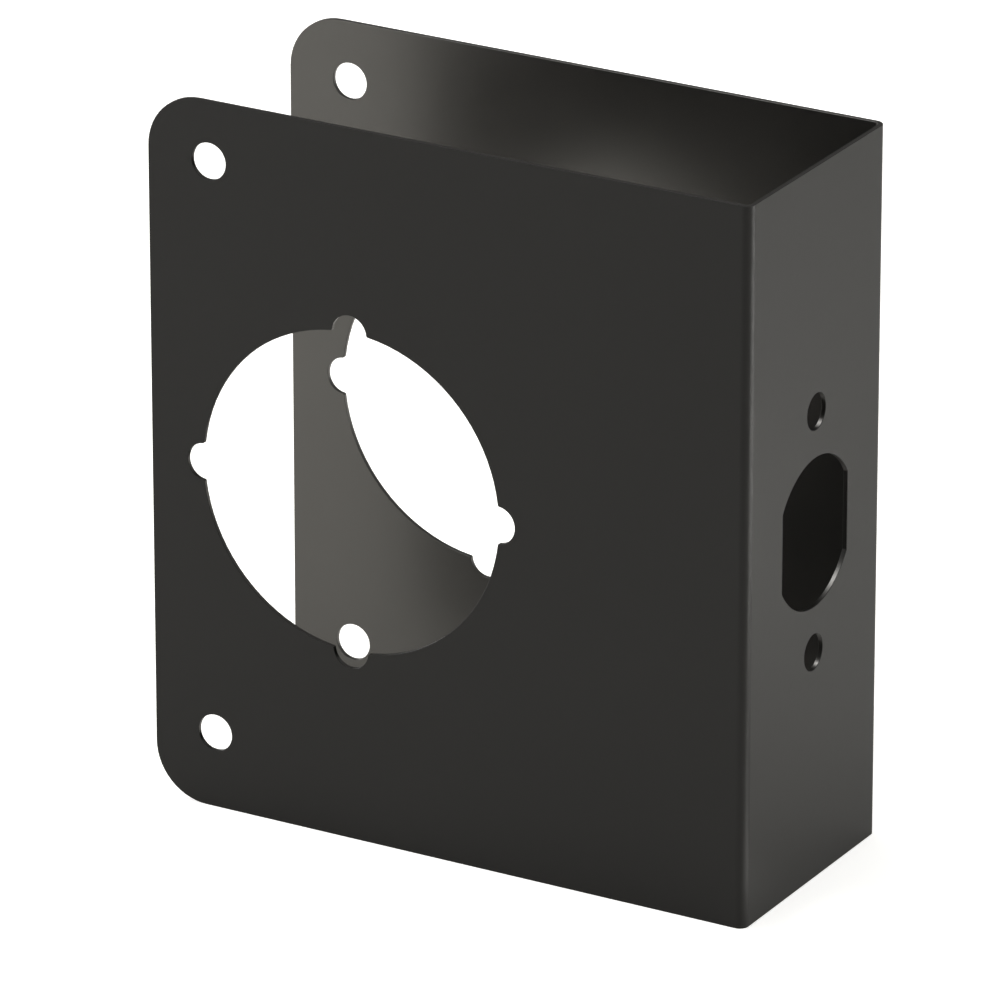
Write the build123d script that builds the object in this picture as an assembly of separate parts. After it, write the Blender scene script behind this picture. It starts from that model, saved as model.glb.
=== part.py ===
from build123d import *
import os

# A door repair plate: one steel sheet folded into a U that wraps the edge of a door round a bored lock.
# The origin is the lock bore's centre, midway through the door's thickness. +X runs out to the door's
# edge, +Y across its thickness and +Z up. All sizes are in millimetres.

# The sheet and its folds
sheet = 0.76
inner_bend_radius = 0.85
door_gap = 42.7  # clear width between the two flanges
plate_height = 120.65
free_corner_radius = 9.3

# The lock bore through both flanges
backset = 70.6  # from the web's inner face, where the door's edge seats, to the bore's centre
bore_above_bottom = 59.5  # from the plate's lower edge to the bore's centre
lock_bore_diameter = 54.2
lobe_diameter = 6.3  # room for the lock's through bolts
lobe_reach = 2.85  # how far a lobe goes out past the bore's edge
lobe_count = 4
free_edge_margin = 6.64  # from the nearest lobe's tip to the flanges' free edges

# The screw holes in both flanges
flange_screw_hole_diameter = 6.2
screw_from_free_edge = 11.15
upper_screw_from_top = 10.1
lower_screw_from_bottom = 12.95

# The latch hole in the web, a round bore with two flats, and the screw holes above and below it
latch_bore_diameter = 25.2
latch_hole_width = 21.4  # across the flats
latch_screw_spacing = 40.6
latch_screw_hole_diameter = 6.1

# The blunting of corners and cut edges
punch_corner_radius = 0.3
rim_break = 0.06

# What follows from the sizes above
web_inner_x = backset
web_outer_x = web_inner_x + sheet
free_edge_x = -(lock_bore_diameter / 2 + lobe_reach + free_edge_margin)
bottom_z = -bore_above_bottom
top_z = bottom_z + plate_height
overall_thickness = door_gap + 2 * sheet
outer_bend_radius = inner_bend_radius + sheet
flange_screw_x = free_edge_x + screw_from_free_edge
flange_screw_heights = (bottom_z + lower_screw_from_bottom, top_z - upper_screw_from_top)

length_tolerance = 0.001  # for telling edges apart by their length


def span(start_x, end_x, start_y, end_y):
    """A rectangle between two pairs of limits in its own plane."""
    middle = ((start_x + end_x) / 2, (start_y + end_y) / 2)
    return Pos(*middle) * Rectangle(end_x - start_x, end_y - start_y)


def door_edge_plan(edge_x, width, bend_radius):
    """A plan view of the room from the free edges to edge_x, with its corners there rounded by the folds."""
    outline = span(free_edge_x, edge_x, -width / 2, width / 2)
    return fillet(outline.vertices().group_by(Axis.X)[-1], bend_radius)


def folded_sheet():
    """The two flanges and the web, with square free corners."""
    section = door_edge_plan(web_outer_x, overall_thickness, outer_bend_radius)
    section -= door_edge_plan(web_inner_x, door_gap, inner_bend_radius)
    return extrude(Pos(0, 0, bottom_z) * section, plate_height)


def through_flanges(outline):
    """A side view's outline as a solid that runs past both flanges."""
    return extrude(Plane.XZ * outline, overall_thickness, both=True)


def through_web(outline):
    """An end view's outline as a solid that runs from the middle of the lock bore out past the web."""
    return extrude(Plane.YZ * outline, web_outer_x + sheet)


def side_profile():
    """The plate's side view, which rounds the flanges' free corners."""
    outline = span(free_edge_x, web_outer_x, bottom_z, top_z)
    return through_flanges(fillet(outline.vertices().group_by(Axis.X)[0], free_corner_radius))


def lock_bore():
    """The bore through both flanges, with its lobes evenly round it."""
    outline = Circle(lock_bore_diameter / 2)
    lobe_centre = lock_bore_diameter / 2 + lobe_reach - lobe_diameter / 2
    for index in range(lobe_count):
        # The half turn puts the lobe's own seam inside the bore.
        lobe = Pos(lobe_centre, 0) * Rot(0, 0, 180) * Circle(lobe_diameter / 2)
        outline += Rot(0, 0, index * 360 / lobe_count) * lobe
    return through_flanges(fillet(outline.vertices(), punch_corner_radius))


def flange_screw_holes():
    """The holes near the free corners, straight through both flanges."""
    hole = Circle(flange_screw_hole_diameter / 2)
    return [through_flanges(Pos(flange_screw_x, height) * hole) for height in flange_screw_heights]


def latch_hole():
    """The hole in the web for the latch, level with the lock bore."""
    outline = Circle(latch_bore_diameter / 2) & Rectangle(latch_hole_width, latch_bore_diameter)
    return through_web(fillet(outline.vertices(), punch_corner_radius))


def latch_screw_holes():
    """The holes above and below the latch hole."""
    hole = Circle(latch_screw_hole_diameter / 2)
    return [through_web(Pos(0, side * latch_screw_spacing / 2) * hole) for side in (-1, 1)]


def is_rim(edge):
    """True along a cut edge, and false for a seam through the sheet or along a fold."""
    if edge.geom_type != GeomType.LINE:
        return True
    return all(abs(edge.length - seam) > length_tolerance for seam in (sheet, plate_height))


def wrap_plate():
    """The whole plate, cut from the folded sheet and blunted along every cut edge."""
    plate = folded_sheet() & side_profile()
    for hole in [lock_bore(), latch_hole()] + flange_screw_holes() + latch_screw_holes():
        plate -= hole
    return chamfer(plate.edges().filter_by(is_rim), rim_break)


os.makedirs("parts", exist_ok=True)
export_step(wrap_plate(), "parts/wrap_plate.step")
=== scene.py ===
import math

import bpy
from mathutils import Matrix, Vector


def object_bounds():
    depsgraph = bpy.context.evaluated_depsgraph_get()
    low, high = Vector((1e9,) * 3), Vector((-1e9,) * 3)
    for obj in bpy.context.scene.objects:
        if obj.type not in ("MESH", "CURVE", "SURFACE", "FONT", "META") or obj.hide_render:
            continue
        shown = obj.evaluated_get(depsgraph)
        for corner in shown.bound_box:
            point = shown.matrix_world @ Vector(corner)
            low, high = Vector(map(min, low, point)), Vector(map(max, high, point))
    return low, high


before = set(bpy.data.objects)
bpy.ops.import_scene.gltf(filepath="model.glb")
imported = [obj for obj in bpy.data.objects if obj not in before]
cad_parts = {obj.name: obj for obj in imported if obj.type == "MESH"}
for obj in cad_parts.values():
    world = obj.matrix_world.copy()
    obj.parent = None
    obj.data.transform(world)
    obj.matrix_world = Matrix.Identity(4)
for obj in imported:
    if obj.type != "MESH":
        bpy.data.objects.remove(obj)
cad_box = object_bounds()

# Millimetres are easier to read here than metres, so sizes are written in them and turned once.
MM = 0.001

# The plate, as the frame gives it
PLATE = "wrap_plate"
BEND_AXIS_X = 69.75  # the lines that the sheet is folded round
BEND_AXIS_Y = 20.5
CUT_EDGE_RADIUS = 1.53  # from a bend's axis nearly to the sheet's outer face

# The satin black coat, with the sizes of its patterns in millimetres
OUTER_COLOUR = (0.0118, 0.0112, 0.0104, 1)
INNER_COLOUR = (0.1295, 0.1260, 0.1205, 1)
OUTER_SHINE = 0.31
OUTER_ROUGHNESS = 0.33
INNER_ROUGHNESS = 0.295
CLOUD_SIZE = 14.0  # slow drifts in how thick the coat lies
CLOUD_DETAIL = 2.0
CLOUD_SHADE = 0.04
CLOUD_ROUGHNESS = 0.018
PEEL_SIZE = 1.6  # the soft waves that a sprayed coat dries to
PEEL_DETAIL = 1.0
PEEL_DEPTH = 0.004
GRAIN_SIZE = 0.22  # the satin itself
GRAIN_DETAIL = 2.0
GRAIN_DEPTH = 0.0006
GRAIN_ROUGHNESS = 0.012

# The pale paper that the plate stands on
FLOOR_COLOUR = (0.86, 0.85, 0.81, 1)
FLOOR_ROUGHNESS = 0.9
FLOOR_SHINE = 0.1
FLOOR_LIFT = 0.62  # what the camera alone sees added to it
LIFT_COLOUR = (1, 1, 1, 1)
FLOOR_WIDTH = 6000

# Where the photographer stands, round the plate and above the floor
CAMERA_AZIMUTH = 29.880
CAMERA_ELEVATION = 21.949
CAMERA_DISTANCE = 1558.29
CAMERA_AIM = (14.627, 0.0, -5.918)
CAMERA_FOCAL_LENGTH = 352.65
CAMERA_SENSOR = 36.0
NEAREST_SEEN = 50
FARTHEST_SEEN = 20000

# The dim room
ROOM_COLOUR = (1.0, 0.98, 0.95, 1)
ROOM_BRIGHTNESS = 0.145

# What the lights are turned to
PLATE_MIDDLE = (15, 0, 0)
BORE_CENTRE = (0, 0, 0)
NEAR_BEND = (71, -22, 0)

# Each soft box: its place, what it is turned to, its width and height, and its brightness
SOFT_BOXES = {
    "overhead_box": ((0, 0, 1500), PLATE_MIDDLE, (1500, 1500), 2.3),
    "near_left_box": ((-330, -20, 645), PLATE_MIDDLE, (200, 200), 5.0),
    "left_box": ((-1100, -500, 300), BORE_CENTRE, (700, 700), 7.2),
    "far_right_box": ((1500, 600, -15), NEAR_BEND, (400, 80), 190.0),
    "back_right_box": ((750, 1300, 600), PLATE_MIDDLE, (1100, 1100), 0.15),
}

# Each floor strip: its middle along X and Y, its length and width, and its brightness
FLOOR_STRIPS = {
    "near_floor_strip": ((140, -18), (110, 25), 1.6),
    "floor_strip": ((285, 10), (200, 60), 4.3),
    "back_floor_strip": ((285, 110), (200, 60), 4.8),
}
STRIP_HEIGHT = 40  # above the bore's centre
WIDE_SPREAD = 180  # degrees
STRIP_SPREAD = 14


def new_material(name):
    """A material's own board: the material, its nodes and its links."""
    material = bpy.data.materials.new(name)
    material.use_nodes = True
    return material, material.node_tree.nodes, material.node_tree.links


def math_node(nodes, links, operation, first, second=None):
    """One sum on the board, fed by sockets or plain numbers."""
    node = nodes.new("ShaderNodeMath")
    node.operation = operation
    for socket, value in zip(node.inputs, (first, second)):
        if value is None:
            continue
        if isinstance(value, (int, float)):
            socket.default_value = value
        else:
            links.new(value, socket)
    return node.outputs[0]


def spread(nodes, links, place, grain_size, detail):
    """An even noise from 0 to 1 whose grains have that size in millimetres."""
    noise = nodes.new("ShaderNodeTexNoise")
    noise.inputs["Scale"].default_value = 1 / (grain_size * MM)
    noise.inputs["Detail"].default_value = detail
    links.new(place, noise.inputs["Vector"])
    return noise.outputs["Fac"]


def blend_numbers(nodes, links, share, low, high):
    """A number that goes from low to high as share goes from 0 to 1."""
    node = nodes.new("ShaderNodeMapRange")
    links.new(share, node.inputs["Value"])
    node.inputs["To Min"].default_value = low
    node.inputs["To Max"].default_value = high
    return node.outputs["Result"]


def inner_side(nodes, links, place):
    """1 on the inner faces, round both folds and on the cut edges, and 0 on the outer faces."""
    axes = nodes.new("ShaderNodeSeparateXYZ")
    links.new(place, axes.inputs[0])
    across = math_node(nodes, links, "ABSOLUTE", axes.outputs["Y"])
    squares = []
    for axis, bend in ((axes.outputs["X"], BEND_AXIS_X), (across, BEND_AXIS_Y)):
        past_bend = math_node(nodes, links, "SUBTRACT", axis, bend * MM)
        past_bend = math_node(nodes, links, "MAXIMUM", past_bend, 0.0)
        squares.append(math_node(nodes, links, "POWER", past_bend, 2.0))
    reach = math_node(nodes, links, "SQRT", math_node(nodes, links, "ADD", *squares))
    return math_node(nodes, links, "LESS_THAN", reach, CUT_EDGE_RADIUS * MM)


def coat_colour(nodes, links, inside, clouds):
    """The two sides' own colours, a little lighter and darker with the clouds."""
    sides = nodes.new("ShaderNodeMix")
    sides.data_type = "RGBA"
    links.new(inside, sides.inputs["Factor"])
    sides.inputs["A"].default_value = OUTER_COLOUR
    sides.inputs["B"].default_value = INNER_COLOUR
    drift = blend_numbers(nodes, links, clouds, 1 - CLOUD_SHADE, 1 + CLOUD_SHADE)
    shade = nodes.new("ShaderNodeVectorMath")
    shade.operation = "SCALE"
    links.new(sides.outputs["Result"], shade.inputs[0])
    links.new(drift, shade.inputs["Scale"])
    return shade.outputs[0]


def coat_roughness(nodes, links, inside, clouds, grain):
    """The two sides' own roughness, which swings a little with the clouds and the grain."""
    roughness = blend_numbers(nodes, links, inside, OUTER_ROUGHNESS, INNER_ROUGHNESS)
    for pattern, most in ((clouds, CLOUD_ROUGHNESS), (grain, GRAIN_ROUGHNESS)):
        swing = blend_numbers(nodes, links, pattern, -most, most)
        roughness = math_node(nodes, links, "ADD", roughness, swing)
    return roughness


def coat_surface(nodes, links, peel, grain):
    """The coat's soft waves, with the satin grain on top of them."""
    waves = nodes.new("ShaderNodeBump")
    satin = nodes.new("ShaderNodeBump")
    for bump, pattern, depth in ((waves, peel, PEEL_DEPTH), (satin, grain, GRAIN_DEPTH)):
        bump.inputs["Distance"].default_value = depth * MM
        links.new(pattern, bump.inputs["Height"])
    links.new(waves.outputs["Normal"], satin.inputs["Normal"])
    return satin.outputs["Normal"]


def black_coat():
    """Satin black on steel. The inner faces and the cut edges mirror more light than the rest."""
    material, nodes, links = new_material("black_coated_steel")
    shader = nodes["Principled BSDF"]
    place = nodes.new("ShaderNodeTexCoord").outputs["Object"]
    inside = inner_side(nodes, links, place)
    clouds = spread(nodes, links, place, CLOUD_SIZE, CLOUD_DETAIL)
    peel = spread(nodes, links, place, PEEL_SIZE, PEEL_DETAIL)
    grain = spread(nodes, links, place, GRAIN_SIZE, GRAIN_DETAIL)
    links.new(coat_colour(nodes, links, inside, clouds), shader.inputs["Base Color"])
    links.new(coat_roughness(nodes, links, inside, clouds, grain), shader.inputs["Roughness"])
    links.new(coat_surface(nodes, links, peel, grain), shader.inputs["Normal"])
    links.new(inside, shader.inputs["Metallic"])
    shader.inputs["Specular IOR Level"].default_value = OUTER_SHINE
    return material


def pale_floor():
    """Plain pale paper, lifted towards white for the camera alone."""
    material, nodes, links = new_material("pale_floor")
    shader = nodes["Principled BSDF"]
    shader.inputs["Base Color"].default_value = FLOOR_COLOUR
    shader.inputs["Roughness"].default_value = FLOOR_ROUGHNESS
    shader.inputs["Specular IOR Level"].default_value = FLOOR_SHINE
    shader.inputs["Emission Color"].default_value = LIFT_COLOUR
    seen = nodes.new("ShaderNodeLightPath").outputs["Is Camera Ray"]
    lift = math_node(nodes, links, "MULTIPLY", seen, FLOOR_LIFT)
    links.new(lift, shader.inputs["Emission Strength"])
    return material


def lay_floor():
    """A wide level floor that the plate stands on."""
    bpy.ops.object.select_all(action="DESELECT")
    bpy.ops.mesh.primitive_plane_add(size=FLOOR_WIDTH * MM, location=(0, 0, cad_box[0].z))
    floor = bpy.context.object
    floor.name = "floor"
    floor.data.materials.append(pale_floor())


def set_world():
    """The dim room round the lights."""
    world = bpy.data.worlds.new("studio_room")
    world.use_nodes = True
    board = world.node_tree.nodes["Background"]
    board.inputs["Color"].default_value = ROOM_COLOUR
    board.inputs["Strength"].default_value = ROOM_BRIGHTNESS
    bpy.context.scene.world = world


def hang_light(name, place, aim, size, brightness, spread_angle=WIDE_SPREAD):
    """One soft light. White paper that it filled the view of would have its brightness."""
    lamp = bpy.data.lights.new(name, "AREA")
    lamp.shape = "RECTANGLE"
    lamp.size, lamp.size_y = size[0] * MM, size[1] * MM
    lamp.energy = brightness * math.pi * lamp.size * lamp.size_y
    lamp.spread = math.radians(spread_angle)
    holder = bpy.data.objects.new(name, lamp)
    holder.location = Vector(place) * MM
    holder.rotation_euler = (Vector(aim) - Vector(place)).to_track_quat("-Z", "Y").to_euler()
    holder.visible_camera = False
    bpy.context.scene.collection.objects.link(holder)


def set_lights():
    """The soft boxes, and the strips whose light on the floor the near bend mirrors as a line."""
    for name, (place, aim, size, brightness) in SOFT_BOXES.items():
        hang_light(name, place, aim, size, brightness)
    for name, ((x, y), size, brightness) in FLOOR_STRIPS.items():
        below = (x, y, -STRIP_HEIGHT)
        hang_light(name, (x, y, STRIP_HEIGHT), below, size, brightness, STRIP_SPREAD)


def set_camera():
    """The camera at the photograph's viewing angle."""
    azimuth, elevation = math.radians(CAMERA_AZIMUTH), math.radians(CAMERA_ELEVATION)
    level = math.cos(elevation)
    back = Vector((math.sin(azimuth) * level, -math.cos(azimuth) * level, math.sin(elevation)))
    lens = bpy.data.cameras.new("camera")
    lens.lens = CAMERA_FOCAL_LENGTH
    lens.sensor_width = CAMERA_SENSOR
    lens.clip_start, lens.clip_end = NEAREST_SEEN * MM, FARTHEST_SEEN * MM
    camera = bpy.data.objects.new("camera", lens)
    camera.location = (Vector(CAMERA_AIM) + back * CAMERA_DISTANCE) * MM
    camera.rotation_euler = (-back).to_track_quat("-Z", "Y").to_euler()
    bpy.context.scene.collection.objects.link(camera)
    bpy.context.scene.camera = camera


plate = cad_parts[PLATE]
coat = black_coat()
for slot in plate.material_slots:
    slot.material = coat

lay_floor()
set_world()
set_lights()
set_camera()
bpy.context.scene.view_settings.view_transform = "Standard"
